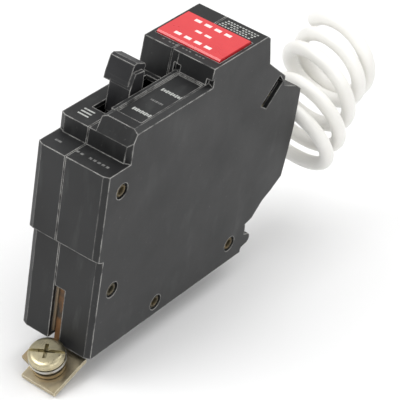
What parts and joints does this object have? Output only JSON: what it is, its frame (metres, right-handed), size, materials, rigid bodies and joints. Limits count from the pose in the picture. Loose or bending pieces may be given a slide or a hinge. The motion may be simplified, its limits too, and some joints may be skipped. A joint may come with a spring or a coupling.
{
  "type": "ground-fault circuit breaker",
  "caption": "Slim one-pole bolt-on circuit breaker with toggle handle, red test button, tilted line tab with terminal screw and a coiled white neutral lead.",
  "frame": {"origin": "centre of the footprint of the breaker and its line terminal, at the lowest point of the line screw, the free lead left out", "axes": "+Y from the line end to the load end, +Z from the mounting back to the handle and button side, +X across the width"},
  "size_m": [0.0361, 0.1555, 0.0935],
  "materials": {
    "case": "moulded satin black, lightly scuffed",
    "handle": "moulded satin black",
    "fibre": "pressed fibre board",
    "steel": "plain steel",
    "copper": "bare copper",
    "silver": "silver alloy contact",
    "spring": "spring steel wire",
    "plated": "yellow zinc plate",
    "brass": "plain brass",
    "board": "green solder mask",
    "ferrite": "coated core",
    "winding": "enamelled copper winding",
    "epoxy": "moulded epoxy",
    "resistor": "coated body",
    "varistor": "dipped epoxy",
    "button": "glossy red",
    "insulation": "off-white insulation"
  },
  "bodies": {
    "case": {"left_shell": "case", "right_shell": "case", "mid_barrier": "fibre", "arc_chute": "fibre", "handle_pivot_pin": "steel", "contact_arm_pin": "steel", "cradle_pin": "steel", "magnet_yoke": "steel", "solenoid_frame": "steel", "arc_plate_1": "steel", "arc_plate_2": "steel", "arc_plate_3": "steel", "arc_plate_4": "steel", "arc_plate_5": "steel", "load_strap": "copper", "flexible_braid": "copper", "phase_conductor": "copper", "fixed_contact": "silver", "main_spring": "spring", "plunger_spring": "spring", "test_button_spring": "spring", "line_strap": "plated", "pressure_plate": "plated", "lock_washer": "plated", "flat_washer": "plated", "load_lug": "plated", "neutral_lug": "plated", "bimetal": "brass", "test_leaf": "brass", "case_rivet_1": "brass", "case_rivet_2": "brass", "case_rivet_3": "brass", "case_rivet_4": "brass", "circuit_board": "board", "sensing_toroid": "ferrite", "grounding_toroid": "ferrite", "solenoid_coil": "winding", "control_chip": "epoxy", "thyristor": "epoxy", "capacitor": "epoxy", "resistor": "resistor", "varistor": "varistor", "pigtail_coil": "insulation", "pigtail_lead": "insulation", "neutral_conductor": "insulation"},
    "handle_body": {"handle": "handle"},
    "arm_body": {"contact_arm": "copper", "moving_contact": "silver"},
    "cradle_body": {"cradle": "steel"},
    "armature_body": {"armature": "steel"},
    "plunger_body": {"solenoid_plunger": "steel"},
    "button_body": {"test_button": "button"},
    "line_screw_body": {"line_screw": "plated"},
    "load_screw_body": {"load_screw": "steel"},
    "neutral_screw_body": {"neutral_screw": "steel"},
    "calibration_body": {"calibration_screw": "brass"}
  },
  "joints": [
    {"name": "handle_swing", "type": "hinge", "parent": "case", "child": "handle_body", "pos_m": [-0.004, -0.01275, 0.06505], "axis": [-1, 0, 0], "range_deg": [0, 28]},
    {"name": "contact_arm_swing", "type": "hinge", "parent": "case", "child": "arm_body", "pos_m": [-0.0073, -0.01525, 0.05105], "axis": [-1, 0, 0], "range_deg": [0, 14]},
    {"name": "cradle_swing", "type": "hinge", "parent": "case", "child": "cradle_body", "pos_m": [-0.0073, -0.00225, 0.05504], "axis": [-1, 0, 0], "range_deg": [0, 12]},
    {"name": "armature_swing", "type": "hinge", "parent": "case", "child": "armature_body", "pos_m": [-0.0073, 0.01535, 0.02934], "axis": [-1, 0, 0], "range_deg": [0, 3]},
    {"name": "solenoid_plunger_slide", "type": "slide", "parent": "case", "child": "plunger_body", "axis": [0, 1, 0], "range_m": [0, 0.002], "stiffness_N_per_m": 150, "springref_m": -0.002, "deforming": ["plunger_spring"]},
    {"name": "test_button_press", "type": "slide", "parent": "case", "child": "button_body", "axis": [0, 0, -1], "range_m": [0, 0.0018], "stiffness_N_per_m": 400, "springref_m": -0.002, "deforming": ["test_button_spring"]},
    {"name": "line_screw_turn", "type": "hinge", "parent": "case", "child": "line_screw_body", "pos_m": [0.0023, -0.04684, 0.00388], "axis": [0, -0.342, 0.9397], "continuous": true},
    {"name": "load_screw_turn", "type": "hinge", "parent": "case", "child": "load_screw_body", "pos_m": [-0.0073, 0.04705, 0.05504], "axis": [0, 0, 1], "continuous": true},
    {"name": "neutral_screw_turn", "type": "hinge", "parent": "case", "child": "neutral_screw_body", "pos_m": [0.005, 0.04705, 0.05504], "axis": [0, 0, 1], "continuous": true},
    {"name": "calibration_screw_turn", "type": "hinge", "parent": "case", "child": "calibration_body", "pos_m": [-0.0073, 0.0245, 0.02505], "axis": [0, 1, 0], "continuous": true}
  ],
  "couplings": [
    {"joint": "contact_arm_swing", "follows": "handle_swing", "ratio": 0.5}
  ]
}
